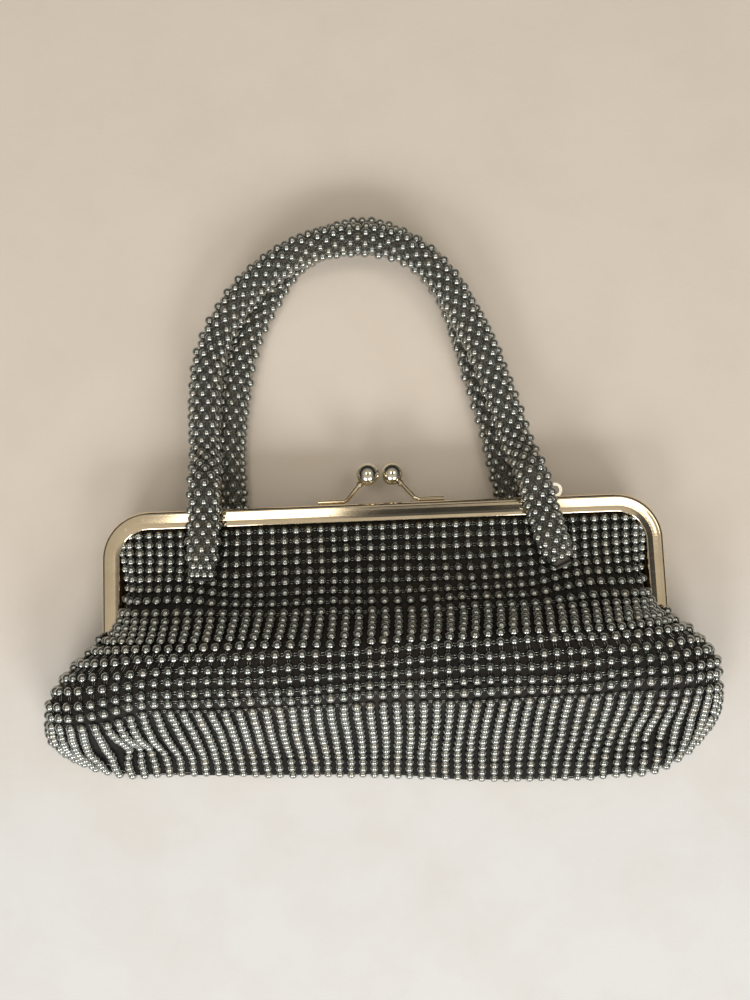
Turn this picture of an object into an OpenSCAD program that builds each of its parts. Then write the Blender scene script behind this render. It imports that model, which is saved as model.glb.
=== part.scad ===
// Beaded evening purse on a kiss lock frame, lying on its back with the front panel up.
// X runs along the rail, Y towards the mouth and the handles, Z up from the table.
// Distances down the purse are measured from the top edge of the frame's rail.

/* [Frame] */
// Width of the frame across the top of its arms
frame_w = 200; // [170:1:230]
// Distance from the rail's top edge down to the hinge axis
hinge_drop = 56; // [50:1:62]
// Width of the channel's outer face
face_w = 6.4; // [5.5:0.1:7.5]
// Width of the channel's leg inside the mouth
leg_w = 4.6; // [3.8:0.1:5]
// Depth of one channel half, from its face to the parting plane
channel_t = 5; // [4.8:0.1:5.6]
// Thickness of the frame's sheet metal
sheet_t = 0.8; // [0.6:0.05:0.85]
// Outer radius of the frame's corners
corner_r = 17; // [13:1:22]
// Radius on the outer edge of the face
edge_r = 1.6; // [0.8:0.1:1.9]
// Height by which the outer face is domed
face_dome = 0.2; // [0.1:0.05:0.25]
// Radius of the rolled lip on the face's inner edge
lip_r = 0.5; // [0.4:0.05:0.55]
// Angle by which each arm leans outwards
arm_splay = 2; // [0:0.5:4]
// Gap between the two closed channel halves
parting_gap = 0.3; // [0.2:0.05:0.5]

/* [Hinges] */
// Radius of the round hinge lugs
lug_r = 4.2; // [3.6:0.1:4.2]
// Thickness of a hinge lug
lug_t = 1; // [0.8:0.1:1.2]
// Radius of the rivet shaft
rivet_r = 1; // [0.8:0.1:1.4]
// Radius of the rivet heads
rivet_head_r = 2.2; // [2:0.1:2.8]
// Height of the rivet heads
rivet_head_h = 0.9; // [0.6:0.1:1.1]
// Radial clearance of the lug that turns on the rivet
turn_clear = 0.05; // [0.03:0.01:0.1]
// Side gap between the two lugs and under the heads
lug_gap = 0.1; // [0.08:0.01:0.2]

/* [Kiss lock] */
// Radius of the catch balls
ball_r = 4.17; // [3.5:0.01:4.3]
// Distance of each ball's centre from the middle of the rail
ball_x = 4.42; // [4.35:0.01:5]
// Height of the ball centres above the rail
ball_rise = 10.4; // [9:0.1:12]
// Distance by which each ball leans past the parting plane
ball_lean = 2; // [0:0.1:3]
// Radius of the catch wire
wire_r = 0.85; // [0.6:0.05:1]
// Distance from the middle of the rail to the end of the wire's foot
foot_end_x = 22.7; // [18:0.1:28]
// Distance from the middle of the rail to the wire's bend
bend_x = 12.6; // [11:0.1:14]
// Radius of the collar under each ball
collar_r = 1.3; // [1.1:0.05:1.6]
// Gap of the soldered joints on the rail
solder_gap = 0.04; // [0.02:0.01:0.1]

/* [Chain loops] */
// Distance of each loop from the middle of the rail
loop_x = 63.3; // [60:0.1:66]
// Radius of the loop's hole
loop_hole_r = 1.6; // [1.2:0.1:1.8]
// Radial width of the loop's metal
loop_band = 1.1; // [0.8:0.1:1.3]
// Thickness of the loop
loop_t = 1.2; // [1:0.1:1.6]
// Height of the hole's centre above the rail
loop_rise = 2.1; // [2:0.1:2.4]

/* [Bead net] */
// Thickness of the bead net, which is one bead
net_t = 2.8; // [2.2:0.1:2.8]
// Depth of the grooves between the ribs that stand for its rows of beads
groove = 1.2; // [0.8:0.1:1.3]
// Thickness of the lining cloth
lining_t = 0.6; // [0.4:0.1:0.8]
// Gap between layers of soft material
layer_gap = 0.35; // [0.3:0.05:0.4]
// Half width of the pouch at its widest place
pouch_half_w = 122; // [118:0.5:126]
// Distance from the rail's top edge to the pouch's lower end
pouch_drop = 102; // [98:0.5:106]
// Height of the pouch's crest above the table
crest_z = 43; // [40:0.5:46]
// Share by which the right end is taller than the left, per mm from the middle
end_taper = 0.0009; // [0:0.0001:0.0012]
// Distance by which the frame sits right of the pouch's middle
frame_shift = 1.8; // [0:0.1:3]

/* [Handles] */
// Width of each beaded rope
rope_w = 13; // [11:0.5:14]
// Height of each beaded rope, which lies flattened
rope_h = 8.6; // [8:0.1:9]
// Thickness of the rope's bead net over its core
rope_net_t = 2.1; // [1.6:0.1:2.2]
// Width of the sewn end with its thread binding
sewn_w = 9; // [8:0.5:10]
// Height of the sewn end with its thread binding
sewn_h = 6; // [5.6:0.1:6.4]
// Length of the sewn end
sewn_len = 6; // [5:0.5:7]
// Thickness of the thread binding
thread_t = 0.8; // [0.5:0.1:1]
// Free gap between a rope and what it lies on
lay_gap = 0.5; // [0.4:0.05:0.7]

/* [Hidden] */

// Heights of the layers, from the table up
rear_face_z = rope_h + lay_gap;
parting_z = rear_face_z + channel_t + parting_gap / 2;
rear_mid_z = rear_face_z + channel_t / 2;
front_face_z = parting_z + parting_gap / 2 + channel_t;
front_mid_z = front_face_z - channel_t / 2;

// Place of the rail's top edge, so that the whole purse is centred on Y
handle_reach = 107;
top_y = (pouch_drop + 2.5 - handle_reach) / 2;

// Outline of the frame
rail_half = frame_w / 2 - corner_r;
arm_start_x = rail_half + corner_r * cos(arm_splay);
arm_start_y = corner_r * (sin(arm_splay) - 1);
channel_end_drop = hinge_drop - 8.5;
arm_len = (channel_end_drop + arm_start_y) / cos(arm_splay);
arm_end_x = arm_start_x + arm_len * sin(arm_splay);
lug_root = 2;
cord_r = (channel_t - 2 * sheet_t - 0.4) / 2;
cord_inset = sheet_t + 0.2 + cord_r;

// Layers of the hinge along X, at the right arm
lug_out_x = arm_end_x - 0.1;
lug_mid_x = lug_out_x - lug_t;
lug_in_x = lug_mid_x - lug_gap - lug_t;

// Distances down the purse where the net leaves the channel, crosses the arms and ends
net_top = face_w - 0.9;
free_drop = 34.5;
over_drop = 39.5;
panel_end = hinge_drop + lug_r + 0.6;
pouch_start = panel_end + layer_gap;
taper_mid = 68;

// Outer height of the front against the distance down the purse
crest = crest_z;
front_rise = [[net_top, front_mid_z + net_t / 2], [12, front_face_z - 0.3], [20, 21.8], [30, 27],
    [37, 33], [42, 39], [47, crest - 1], [55, crest], [62, crest - 0.8], [67, crest - 3.8],
    [80, 24.5], [95, 8.5], [pouch_drop, 5]];
// Outer height of the back against the distance down the purse, below 0 where it lies flat
back_fall = [[net_top, rear_mid_z - net_t / 2], [27, rear_face_z + 0.6], [37, 3], [46, -0.8], [94, -0.8],
    [pouch_drop, 1.6]];
// Half width of the pouch against the distance down the purse
side_in = pouch_half_w;
pouch_half = [[pouch_start, side_in - 2], [66, side_in - 0.4], [72, side_in], [80, side_in - 2],
    [88, side_in - 7.5], [94, side_in - 16], [98.5, side_in - 27], [pouch_drop, side_in - 45]];
// Half width of the free panel edges outside the arms, and their heights on the front and the back
edge_in = frame_w / 2 - face_w - 0.8;
panel_half = [[over_drop, edge_in], [43, edge_in + 5], [47, edge_in + 11.5], [54, edge_in + 20.5],
    [panel_end, side_in - 2.4]];
front_edge_z = [[free_drop, front_mid_z + net_t / 2], [over_drop, front_face_z + net_t + 0.8],
    [44, front_face_z + net_t + 2], [52, front_face_z + net_t], [panel_end, front_face_z + 1]];
back_edge_z = [[free_drop, rear_mid_z - net_t / 2], [over_drop, rear_face_z - net_t - 0.8],
    [44, rear_face_z - net_t - 1.2], [panel_end, rear_face_z - net_t + 0.4]];

// Stations down each panel and down the pouch
panel_stops = [net_top, 8, 11, 15, 21, 28, free_drop, over_drop, 42, 45, 49, 55, panel_end];
pouch_stops = [pouch_start, 64, 67, 71, 76, 81, 86, 90, 94, 97, 99.5, 101.3, pouch_drop];
panel_cols = 26;
ring_sides = 44;

// Smooth curve through points of rising first value, which never overshoots them
function secant(p, i) = (p[i + 1][1] - p[i][1]) / (p[i + 1][0] - p[i][0]);
function slope(p, i) = i == 0 ? secant(p, 0) : i == len(p) - 1 ? secant(p, i - 1)
    : secant(p, i - 1) * secant(p, i) <= 0 ? 0
    : 2 * secant(p, i - 1) * secant(p, i) / (secant(p, i - 1) + secant(p, i));
function piece_of(p, t, i = 0) = i >= len(p) - 2 || t <= p[i + 1][0] ? i : piece_of(p, t, i + 1);
function curve(p, t) = let(i = piece_of(p, t), h = p[i + 1][0] - p[i][0],
    u = min(1, max(0, (t - p[i][0]) / h)))
    (1 + 2 * u) * pow(1 - u, 2) * p[i][1] + u * pow(1 - u, 2) * h * slope(p, i)
    + u * u * (3 - 2 * u) * p[i + 1][1] - u * u * (1 - u) * h * slope(p, i + 1);
function ease(a, b, t) = let(u = min(1, max(0, (t - a) / (b - a)))) u * u * (3 - 2 * u);

// Place of a point of the fabric, with the right end taller than the left
function lay(x, drop, z) =
    [x + frame_shift * (1 - ease(36, 50, drop)),
        top_y - drop - end_taper * x * (drop - taper_mid) * ease(36, 50, drop), z];

// Half width of a panel: inside the frame's corners, then inside the arms, then past them
corner_in_r = corner_r - face_w + 0.8;
function panel_w(drop) = drop < corner_r
    ? rail_half + sqrt(max(0, pow(corner_in_r, 2) - pow(corner_r - drop, 2)))
    : drop < over_drop ? rail_half + corner_in_r - 1.6 * ease(corner_r, free_drop, drop)
    : curve(panel_half, drop);
// Share of the full rise across a panel, one in the middle and none at the edges
function crown(s) = pow(max(0, 1 - pow(abs(s), 3.2)), 0.5);

// One station across a panel: side is 1 on the front and -1 on the back, depth goes inwards, and
// skip leaves out columns at both edges
function panel_row(drop, side, depth, skip) = let(
    w = panel_w(drop),
    mid = side > 0 ? curve(front_rise, drop) : curve(back_fall, drop),
    edge = side > 0 ? curve(front_edge_z, drop) : curve(back_edge_z, drop))
    [for (i = [skip:panel_cols - skip]) let(s = -cos(180 * i / panel_cols))
        lay(w * s, drop, max(0, edge + (mid - edge) * crown(s)) - side * depth)];

// One ring around the pouch, shrunk by inset on every side and by rib more on the front
function pouch_ring(drop, inset, rib) = let(
    w = curve(pouch_half, drop) - inset - rib,
    low = curve(back_fall, drop) + inset,
    top = max(low + 0.4, curve(front_rise, drop) - inset - rib),
    mid = (top + low) / 2 + min(0, parting_z - (top + low) / 2))
    [for (i = [0:ring_sides - 1]) let(a = 360 * i / ring_sides, c = cos(a), s = sin(a))
        lay(w * sign(c) * pow(abs(c), 0.62), drop,
            max(inset, mid + (s > 0 ? top - mid : mid - low) * sign(s) * pow(abs(s), 0.8)))];

// Triangles between two neighbouring rings or rows of a grid
function band(a, b, n, closed) = [for (i = [0:closed ? n - 1 : n - 2]) let(j = (i + 1) % n)
    each [[a + i, a + j, b + i], [a + j, b + j, b + i]]];
function flip(faces) = [for (f = faces) [f[2], f[1], f[0]]];

// Sheet between two grids of the same size
module sheet_solid(outer, inner) {
    rows = len(outer);
    n = len(outer[0]);
    half = rows * n;
    points = [each [for (r = outer) each r], each [for (r = inner) each r]];
    skin = [for (k = [0:rows - 2]) each band(k * n, (k + 1) * n, n, false)];
    lining = [for (f = skin) [f[2] + half, f[1] + half, f[0] + half]];
    first = [for (i = [0:n - 2]) each [[i + half, i + 1 + half, i], [i + 1 + half, i + 1, i]]];
    last = let(e = (rows - 1) * n) [for (i = [0:n - 2])
        each [[e + i, e + i + 1, e + i + half], [e + i + 1, e + i + 1 + half, e + i + half]]];
    left = [for (k = [0:rows - 2]) let(a = k * n, b = (k + 1) * n)
        each [[a, b, a + half], [b, b + half, a + half]]];
    right = [for (k = [0:rows - 2]) let(a = k * n + n - 1, b = (k + 1) * n + n - 1)
        each [[a + half, b + half, a], [b + half, b, a]]];
    polyhedron(points, concat(skin, lining, first, last, left, right));
}

// Cup between an outer and an inner stack of rings, open at its first ring
module cup_solid(outer, inner) {
    n = len(outer[0]);
    ro = len(outer);
    ri = len(inner);
    half = ro * n;
    points = [each [for (r = outer) each r], each [for (r = inner) each r]];
    skin = [for (k = [0:ro - 2]) each band(k * n, (k + 1) * n, n, true)];
    hollow = [for (k = [0:ri - 2]) each band(half + k * n, half + (k + 1) * n, n, true)];
    rim = [for (i = [0:n - 1]) let(j = (i + 1) % n) each [[half + i, half + j, i], [half + j, j, i]]];
    outer_cap = [for (i = [1:n - 2]) [(ro - 1) * n, (ro - 1) * n + i, (ro - 1) * n + i + 1]];
    inner_cap = [for (i = [1:n - 2]) let(e = half + (ri - 1) * n) [e, e + i + 1, e + i]];
    polyhedron(points, concat(skin, flip(hollow), rim, outer_cap, inner_cap));
}

// Channel of one frame half: the profile goes along the rail, round the corners and down the arms
module along_frame(end_drop) {
    translate([-rail_half, -corner_r, 0]) rotate([90, 0, 90]) linear_extrude(2 * rail_half) children();
    for (s = [0, 1]) mirror([s, 0, 0]) translate([rail_half, -corner_r, 0]) {
        rotate_extrude(angle = 90, $fn = 96) children();
        multmatrix([[1, -tan(arm_splay), 0, 0], [0, 1, 0, 0], [0, 0, 1, 0]])
            rotate([90, 0, 0]) linear_extrude(end_drop - corner_r) children();
    }
}

// Pressed profile, face at height 0 and mouth side at channel_t, X is the distance from the
// corner's centre: rounded outer edge, rolled inner lip, hollow inside
function channel_profile() = let(lip_x = corner_r - face_w + lip_r, edge_x = corner_r - edge_r) concat(
    [[corner_r - leg_w, channel_t], [corner_r, channel_t]],
    [for (a = [0:10:80]) [edge_x + edge_r * cos(a), edge_r - edge_r * sin(a)]],
    [for (k = [0:5]) [edge_x + (lip_x - edge_x) * k / 5, -face_dome * sin(36 * k)]],
    [for (a = [250:-20:50]) [lip_x + lip_r * cos(a), lip_r + lip_r * sin(a)]],
    [[lip_x + lip_r, sheet_t], [corner_r - sheet_t, sheet_t], [corner_r - sheet_t, channel_t - sheet_t],
        [corner_r - leg_w, channel_t - sheet_t]]);

module channel() {
    along_frame(channel_end_drop) polygon(channel_profile());
}

// Tongue and round lug that carry the hinge, in the plane across X
module lug_plate(x, t, toward, bore_r) {
    translate([x, 0, 0]) rotate([90, 0, 90]) linear_extrude(t) difference() {
        union() {
            translate([-hinge_drop, 0]) circle(lug_r, $fn = 64);
            polygon([[-hinge_drop, -toward * lug_r * 0.6], [-hinge_drop, toward * lug_r],
                [-channel_end_drop, toward * (channel_t - edge_r / 2)],
                [lug_root - channel_end_drop, toward * (channel_t - edge_r / 2)],
                [lug_root - channel_end_drop, toward * (parting_gap / 2 + sheet_t / 2)],
                [-channel_end_drop - 3, toward * (parting_gap / 2 + sheet_t / 2)]]);
        }
        translate([-hinge_drop, 0]) circle(bore_r, $fn = 48);
    }
}

// One frame half in place: toward is 1 for the front and -1 for the rear
module frame_half(toward) {
    translate([frame_shift, top_y, 0]) {
        if (toward > 0)
            translate([0, 0, front_face_z]) mirror([0, 0, 1]) channel();
        else
            translate([0, 0, rear_face_z]) channel();
        for (s = [0, 1]) mirror([s, 0, 0]) translate([0, 0, parting_z])
            if (toward > 0)
                lug_plate(lug_mid_x, lug_t, 1, rivet_r + turn_clear);
            else {
                lug_plate(lug_in_x, lug_t, -1, rivet_r + 0.02);
                translate([lug_in_x + lug_t / 2, -channel_end_drop + 0.4, sheet_t / 2 - channel_t])
                    cube([lug_out_x - lug_in_x - lug_t / 2 - sheet_t / 2, 1.2, channel_t - sheet_t * 1.2]);
            }
    }
}

module frame_cord(z) {
    translate([frame_shift, top_y, z]) along_frame(channel_end_drop - 3)
        polygon([for (a = [0:22.5:340]) [corner_r - cord_inset + cord_r * cos(a), cord_r * sin(a)]]);
}

module hinge_rivet(side) {
    x0 = lug_in_x - lug_gap - rivet_head_h;
    x1 = lug_out_x + lug_gap;
    translate([frame_shift, top_y - hinge_drop, parting_z]) mirror([side < 0 ? 1 : 0, 0, 0]) {
        translate([x0, 0, 0]) rotate([0, 90, 0]) cylinder(h = x1 + 0.2 - x0, r = rivet_r, $fn = 48);
        translate([x0, 0, 0]) rotate([0, 90, 0]) cylinder(h = rivet_head_h, r = rivet_head_r, $fn = 48);
        translate([x1, 0, 0]) rotate([0, 90, 0]) intersection() {
            cylinder(h = rivet_head_h, r = rivet_head_r, $fn = 48);
            translate([0, 0, rivet_head_h - dome_r()]) sphere(dome_r(), $fn = 64);
        }
    }
}
function dome_r() = (pow(rivet_head_r, 2) + pow(rivet_head_h, 2)) / (2 * rivet_head_h) + 0.4;

// Round bar between two points
module bar(a, b, r) {
    d = b - a;
    l = norm(d);
    translate(a) rotate([0, acos(d[2] / l), atan2(d[1], d[0])]) cylinder(h = l, r = r, $fn = 32);
}

// Catch places on one side: side is 1 for the front half's catch, which stands right of the middle
function lock_z(side) = side > 0 ? front_mid_z : rear_mid_z;
function ball_at(side) = [side * ball_x, ball_rise, parting_z - side * ball_lean];
function foot_at(side) = [side * bend_x, wire_r + solder_gap, lock_z(side)];
elbow_r = wire_r * 1.04;
function aim(side) = let(d = foot_at(side) - ball_at(side)) d / norm(d);

module lock_arm(side) {
    foot = foot_at(side);
    tip = ball_at(side) + aim(side) * (ball_r + 0.03);
    collar_end = tip + aim(side) * 1.1;
    shoulder = foot + [side * 0.9, 0, 0];
    bend = foot - aim(side) * 0.9;
    translate([frame_shift, top_y, 0]) {
        bar([side * foot_end_x, foot[1], foot[2]], shoulder, wire_r);
        translate(shoulder) sphere(elbow_r, $fn = 48);
        bar(shoulder, bend, wire_r);
        translate(bend) sphere(elbow_r, $fn = 48);
        bar(bend, (collar_end + tip) / 2, wire_r);
        bar(collar_end, tip, collar_r);
    }
}

module lock_ball(side) {
    translate(ball_at(side) + [frame_shift, top_y, 0]) sphere(ball_r, $fn = 72);
}

module chain_loop(side) {
    outer = loop_hole_r + loop_band;
    translate([frame_shift + side * loop_x, top_y, rear_mid_z - loop_t / 2]) difference() {
        translate([0, loop_rise, 0]) cylinder(h = loop_t, r = outer, $fn = 64);
        translate([0, loop_rise, -1]) cylinder(h = loop_t + 2, r = loop_hole_r, $fn = 64);
        translate([-outer, -2 * outer + solder_gap, -1]) cube([2 * outer, 2 * outer, loop_t + 2]);
    }
}

module bead_panel(side) {
    sheet = [for (k = [0:len(panel_stops) - 1])
        panel_row(panel_stops[k], side, side > 0 && k % 2 == 1 ? groove : 0, 0)];
    under = [for (d = panel_stops) panel_row(d, side, net_t, 0)];
    if (side > 0) sheet_solid(sheet, under); else sheet_solid(under, sheet);
}

module panel_lining(side) {
    near = net_t + layer_gap;
    stops = [for (i = [2:len(panel_stops) - 1]) panel_stops[i]];
    upper = [for (d = stops) panel_row(d, side, near, 2)];
    lower = [for (d = stops) panel_row(d, side, near + lining_t, 2)];
    if (side > 0) sheet_solid(upper, lower); else sheet_solid(lower, upper);
}

// Stations down the pouch as far as an end
function stops_to(end) = [each [for (d = pouch_stops) if (d < end - 0.8) d], end];

module pouch(inset, t, outer_end, inner_end, rib) {
    stops = stops_to(outer_end);
    cup_solid([for (k = [0:len(stops) - 1]) pouch_ring(stops[k], inset, k % 2 == 1 ? rib : 0)],
        [for (d = stops_to(inner_end)) pouch_ring(d, inset + t, 0)]);
}

// Centre line of the front handle, from its left sewn end to its right one
sewn_drop = 25;
over_z = front_face_z + lay_gap + rope_h / 2;
arch_z = rope_h + lay_gap + rope_h / 2;
front_sewn_z = 27.6;
front_route = [[-63, -25, front_sewn_z], [-62.4, -14, front_sewn_z - 1], [-62, -3, over_z],
    [-62, 8, over_z - 1.5], [-62.5, 20, arch_z + 1], [-62.5, 34, arch_z], [-59.5, 56, arch_z],
    [-47, 77, arch_z], [-28, 91, arch_z], [-8, 95.5, arch_z], [10, 92.5, arch_z], [24, 82, arch_z],
    [36.5, 60, arch_z], [45, 37, arch_z], [50, 20, arch_z + 1], [53.5, 8, over_z - 1.5],
    [55.8, -3, over_z], [58.5, -14, front_sewn_z - 1], [62.5, -25, front_sewn_z]];
// Centre line of the rear handle, which lies on the table
low_z = rope_h / 2;
rear_sewn_z = sewn_h / 2 + 0.6;
rear_route = [[-58, -25, rear_sewn_z], [-56.5, -14, low_z], [-55.2, 0, low_z], [-55, 25, low_z],
    [-49.5, 57, low_z], [-40, 77, low_z], [-27, 93, low_z], [-5, 100.5, low_z], [10, 96.5, low_z],
    [21, 88, low_z], [30, 74, low_z], [37, 50, low_z], [43, 27, low_z], [48, 3, low_z],
    [52, -12, low_z], [57, -25, rear_sewn_z]];

// Point of a smooth route at parameter t, which counts its points
function route_at(p, t) = let(n = len(p), i = min(n - 2, floor(t)), u = t - i,
    a = p[max(0, i - 1)], b = p[i], c = p[i + 1], d = p[min(n - 1, i + 2)])
    0.5 * (2 * b + (c - a) * u + (2 * a - 5 * b + 4 * c - d) * u * u
    + (3 * b - a - 3 * c + d) * u * u * u);
// Distances along a route, at fine steps
function route_steps(p) = [for (t = [0:0.05:len(p) - 1.001]) route_at(p, t)];
function running(q) = [for (i = 0, s = 0; i < len(q); s = i + 1 < len(q) ? s + norm(q[i + 1] - q[i]) : s,
    i = i + 1) s];
function total(p) = let(r = running(route_steps(p))) r[len(r) - 1];
// Point at a distance along a route
function at_len(q, r, s) = let(i = find(r, s, 0, len(r) - 1),
    u = (s - r[i]) / max(0.001, r[min(i + 1, len(r) - 1)] - r[i]))
    q[i] + (q[min(i + 1, len(q) - 1)] - q[i]) * u;
function find(r, s, lo, hi) = hi - lo <= 1 ? lo : let(m = floor((lo + hi) / 2))
    r[m] <= s ? find(r, s, m, hi) : find(r, s, lo, m);

// Rope cross sections: ellipses that stand across the route, at distances s, half width and height
function rope_rings(p, stops, sizes, sides) = let(q = route_steps(p), r = running(q), l = r[len(r) - 1])
    [for (k = [0:len(stops) - 1]) let(s = stops[k],
        a = at_len(q, r, max(0, s - 0.5)), b = at_len(q, r, min(l, s + 0.5)), c = at_len(q, r, s),
        t = (b - a) / norm(b - a), w = cross([0, 0, 1], t) / norm(cross([0, 0, 1], t)), h = cross(t, w))
        [for (i = [0:sides - 1]) let(g = 360 * i / sides)
            c + w * sizes[k][0] * cos(g) + h * sizes[k][1] * sin(g)]];

module rope_tube(rings) {
    n = len(rings[0]);
    k = len(rings);
    points = [for (r = rings) each r];
    walls = [for (i = [0:k - 2]) each band(i * n, (i + 1) * n, n, true)];
    caps = [for (i = [1:n - 2]) each [[0, i + 1, i],
        [(k - 1) * n, (k - 1) * n + i, (k - 1) * n + i + 1]]];
    polyhedron(points, concat(flip(walls), flip(caps)));
}

module rope_shell(outer, inner) {
    n = len(outer[0]);
    k = len(outer);
    half = k * n;
    points = [each [for (r = outer) each r], each [for (r = inner) each r]];
    walls = [for (i = [0:k - 2]) each band(i * n, (i + 1) * n, n, true)];
    hollow = [for (f = walls) f + [half, half, half]];
    ends = [for (i = [0:n - 1]) let(j = (i + 1) % n, e = (k - 1) * n)
        each [[i, j, i + half], [j, j + half, i + half],
            [e + i + half, e + j + half, e + i], [e + j + half, e + j, e + i]]];
    polyhedron(points, concat(flip(walls), hollow, ends));
}

rope_cuts = 34;
core_w = rope_w / 2 - rope_net_t - layer_gap / 2;
core_h = rope_h / 2 - rope_net_t - layer_gap / 2;
sewn_core_w = sewn_w / 2 - thread_t - 0.1;
sewn_core_h = sewn_h / 2 - thread_t - 0.1;
function rope_grow(s, l) = ease(0, sewn_len * 2, min(s, l - s));
// Cuts along the rope between its sewn ends, the same for the core and the net
function rope_stops(l) = let(a = sewn_len + 0.3) [for (i = [0:rope_cuts]) a + (l - 2 * a) * i / rope_cuts];

module handle_core(p) {
    l = total(p);
    stops = [0.2, each rope_stops(l), l - 0.2];
    sizes = [for (s = stops) let(g = rope_grow(s, l))
        [sewn_core_w + (core_w - sewn_core_w) * g, sewn_core_h + (core_h - sewn_core_h) * g]];
    rope_tube(rope_rings(p, stops, sizes, 10));
}

module handle_net(p) {
    l = total(p);
    stops = rope_stops(l);
    sizes = [for (s = stops) let(g = rope_grow(s, l))
        [sewn_w / 2 + (rope_w / 2 - sewn_w / 2) * g, sewn_h / 2 + (rope_h / 2 - sewn_h / 2) * g]];
    holes = [for (s = stops) let(g = rope_grow(s, l))
        [sewn_core_w + (core_w - sewn_core_w) * g + 0.3, sewn_core_h + (core_h - sewn_core_h) * g + 0.3]];
    rope_shell(rope_rings(p, stops, sizes, 12), rope_rings(p, stops, holes, 12));
}

module handle_stitches(p) {
    l = total(p);
    for (span = [[0.4, sewn_len], [l - sewn_len, l - 0.4]]) {
        stops = [span[0], (span[0] + span[1]) / 2, span[1]];
        sizes = [for (s = stops) [sewn_w / 2, sewn_h / 2]];
        holes = [for (s = stops) let(g = rope_grow(s, l))
            [sewn_core_w + (core_w - sewn_core_w) * g + 0.1, sewn_core_h + (core_h - sewn_core_h) * g + 0.1]];
        rope_shell(rope_rings(p, stops, sizes, 16), rope_rings(p, stops, holes, 16));
    }
}

module placed() { translate([frame_shift, top_y, 0]) children(); }

module rear_frame() color([0.80, 0.76, 0.66]) frame_half(-1);
module front_frame() color([0.84, 0.80, 0.70]) frame_half(1);
module rear_channel_cord() color([0.72, 0.62, 0.46]) frame_cord(rear_mid_z);
module front_channel_cord() color([0.72, 0.62, 0.46]) frame_cord(front_mid_z);
module rear_lock_arm() color([0.80, 0.76, 0.66]) lock_arm(-1);
module front_lock_arm() color([0.80, 0.76, 0.66]) lock_arm(1);
module rear_lock_ball() color([0.84, 0.80, 0.70]) lock_ball(-1);
module front_lock_ball() color([0.84, 0.80, 0.70]) lock_ball(1);
module left_hinge_rivet() color([0.7, 0.66, 0.56]) hinge_rivet(-1);
module right_hinge_rivet() color([0.7, 0.66, 0.56]) hinge_rivet(1);
module left_chain_loop() color([0.82, 0.78, 0.7]) chain_loop(-1);
module right_chain_loop() color([0.82, 0.78, 0.7]) chain_loop(1);
module pouch_bead_net() color([0.30, 0.33, 0.34]) pouch(0, net_t, pouch_drop, pouch_drop - 5, groove);
module pouch_lining() color([0.07, 0.07, 0.07])
    pouch(net_t + layer_gap, lining_t, pouch_drop - 7.5, pouch_drop - 9.5, 0);
module back_bead_panel() color([0.27, 0.30, 0.31]) bead_panel(-1);
module back_lining() color([0.07, 0.07, 0.07]) panel_lining(-1);
module front_bead_panel() color([0.33, 0.36, 0.37]) bead_panel(1);
module front_lining() color([0.07, 0.07, 0.07]) panel_lining(1);
module front_handle_core() color([0.36, 0.34, 0.31]) placed() handle_core(front_route);
module front_handle_net() color([0.36, 0.39, 0.40]) placed() handle_net(front_route);
module front_handle_stitches() color([0.10, 0.11, 0.13]) placed() handle_stitches(front_route);
module rear_handle_core() color([0.36, 0.34, 0.31]) placed() handle_core(rear_route);
module rear_handle_net() color([0.30, 0.33, 0.34]) placed() handle_net(rear_route);
module rear_handle_stitches() color([0.10, 0.11, 0.13]) placed() handle_stitches(rear_route);

rear_frame();
rear_channel_cord();
rear_lock_arm();
rear_lock_ball();
left_hinge_rivet();
right_hinge_rivet();
left_chain_loop();
right_chain_loop();
pouch_bead_net();
pouch_lining();
back_bead_panel();
back_lining();
front_frame();
front_channel_cord();
front_lock_arm();
front_lock_ball();
front_bead_panel();
front_lining();
front_handle_core();
front_handle_net();
front_handle_stitches();
rear_handle_core();
rear_handle_net();
rear_handle_stitches();
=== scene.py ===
import math

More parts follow.
